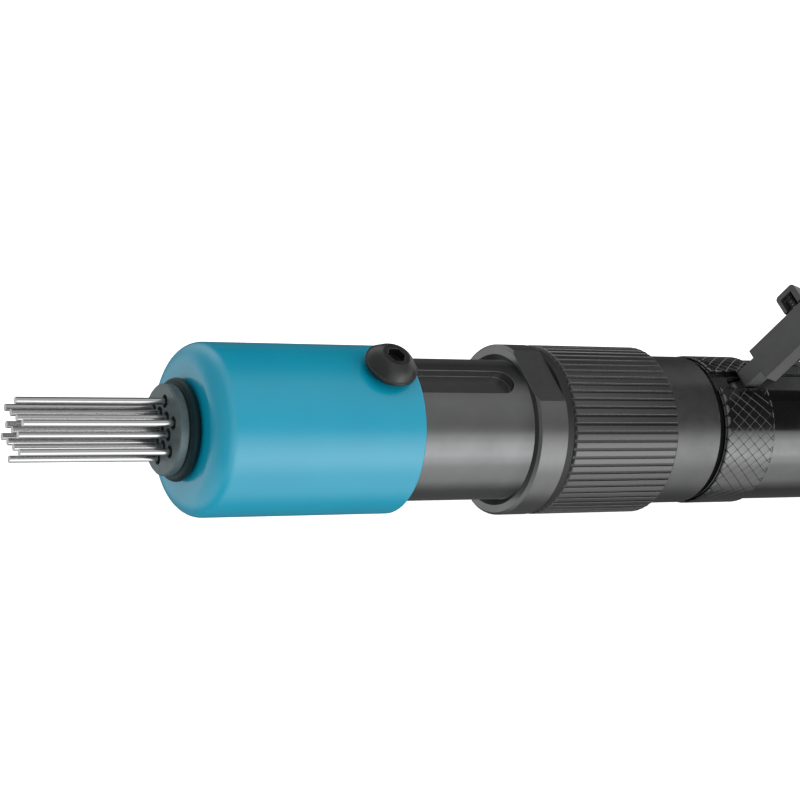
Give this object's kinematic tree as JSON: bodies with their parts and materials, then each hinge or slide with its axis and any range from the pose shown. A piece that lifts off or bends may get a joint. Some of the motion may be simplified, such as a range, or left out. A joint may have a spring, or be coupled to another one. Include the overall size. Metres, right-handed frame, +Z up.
{
  "type": "needle scaler",
  "caption": "Inline pneumatic needle scaler: a bundle of steel needles in a sliding nozzle, driven by a piston, with a lever throttle on a round handle.",
  "frame": {"origin": "centre of the air inlet's mouth, on the tool's axis at the hose end", "axes": "+X along the tool's axis out of the air inlet, so the needles point to -X; +Z up, the lever's side; +Y to the side that the safety latch is on"},
  "size_m": [0.3679, 0.0524, 0.0866],
  "materials": {
    "needle_steel": "bright drawn steel",
    "teal_paint": "satin teal coating",
    "guide_slate": "slate grey, matt",
    "rubber": "matt black rubber",
    "gloss_black_steel": "polished black oxide",
    "satin_black_steel": "satin black oxide",
    "screw_black": "black oxide",
    "handle_black": "gloss black anodised",
    "lever_steel": "satin black oxide",
    "machined_steel": "machined steel",
    "bronze": "machined bronze"
  },
  "bodies": {
    "housing": {"handle": "handle_black", "front_housing": "satin_black_steel", "front_tube": "gloss_black_steel", "collar_nut": "satin_black_steel", "joint_seal": "rubber", "anvil_bush": "bronze", "anvil_buffer": "rubber", "barrel": "machined_steel", "valve_seat": "machined_steel", "valve_flap": "machined_steel", "valve_cover": "machined_steel", "needle_spring": "needle_steel", "lever_pin": "machined_steel", "throttle_seat": "bronze", "stem_seal": "rubber", "throttle_spring": "needle_steel", "throttle_plug": "satin_black_steel", "inlet_bushing": "machined_steel", "inlet_seal": "rubber", "inlet_screen": "machined_steel"},
    "nozzle": {"nozzle_sleeve": "teal_paint", "sleeve_screw": "screw_black", "needle_guide": "guide_slate", "guide_ring": "rubber", "guide_nut": "satin_black_steel"},
    "needle_pack": {"needle_holder": "satin_black_steel", "needle_01": "needle_steel", "needle_02": "needle_steel", "needle_03": "needle_steel", "needle_04": "needle_steel", "needle_05": "needle_steel", "needle_06": "needle_steel", "needle_07": "needle_steel", "needle_08": "needle_steel", "needle_09": "needle_steel", "needle_10": "needle_steel", "needle_11": "needle_steel", "needle_12": "needle_steel", "needle_13": "needle_steel"},
    "anvil": {"anvil": "machined_steel"},
    "piston": {"piston": "machined_steel"},
    "lever": {"throttle_lever": "lever_steel", "latch_pin": "machined_steel"},
    "latch": {"safety_latch": "lever_steel", "latch_spring": "screw_black"},
    "valve": {"throttle_valve": "bronze"}
  },
  "joints": [
    {"name": "throttle_lever", "type": "hinge", "parent": "housing", "child": "lever", "pos_m": [-0.1296, 0, 0.0172], "axis": [0, 1, 0], "range_deg": [0, 7.5], "stiffness_Nm_per_rad": 1.5, "springref_deg": -14.32},
    {"name": "safety_latch", "type": "hinge", "parent": "lever", "child": "latch", "pos_m": [-0.11946, 0, 0.04897], "axis": [0, -1, 0], "range_deg": [0, 40], "stiffness_Nm_per_rad": 0.03, "springref_deg": -28.65, "deforming": ["latch_spring"]},
    {"name": "throttle_valve", "type": "slide", "parent": "housing", "child": "valve", "axis": [0, 0, -1], "range_m": [0, 0.0018], "deforming": ["throttle_spring"]},
    {"name": "nozzle_slide", "type": "slide", "parent": "housing", "child": "nozzle", "axis": [1, 0, 0], "range_m": [-0.005, 0.032]},
    {"name": "anvil_slide", "type": "slide", "parent": "housing", "child": "anvil", "axis": [-1, 0, 0], "range_m": [0, 0.008], "stiffness_N_per_m": 2000, "springref_m": -0.006},
    {"name": "needle_slide", "type": "slide", "parent": "housing", "child": "needle_pack", "axis": [-1, 0, 0], "range_m": [0, 0.008], "deforming": ["needle_spring"]},
    {"name": "piston_slide", "type": "slide", "parent": "housing", "child": "piston", "axis": [1, 0, 0], "range_m": [0, 0.015]}
  ],
  "couplings": [
    {"joint": "throttle_valve", "follows": "throttle_lever", "m_per_rad": 0.013},
    {"joint": "safety_latch", "follows": "throttle_lever", "ratio": 5.2},
    {"joint": "needle_slide", "follows": "anvil_slide", "ratio": 1}
  ]
}
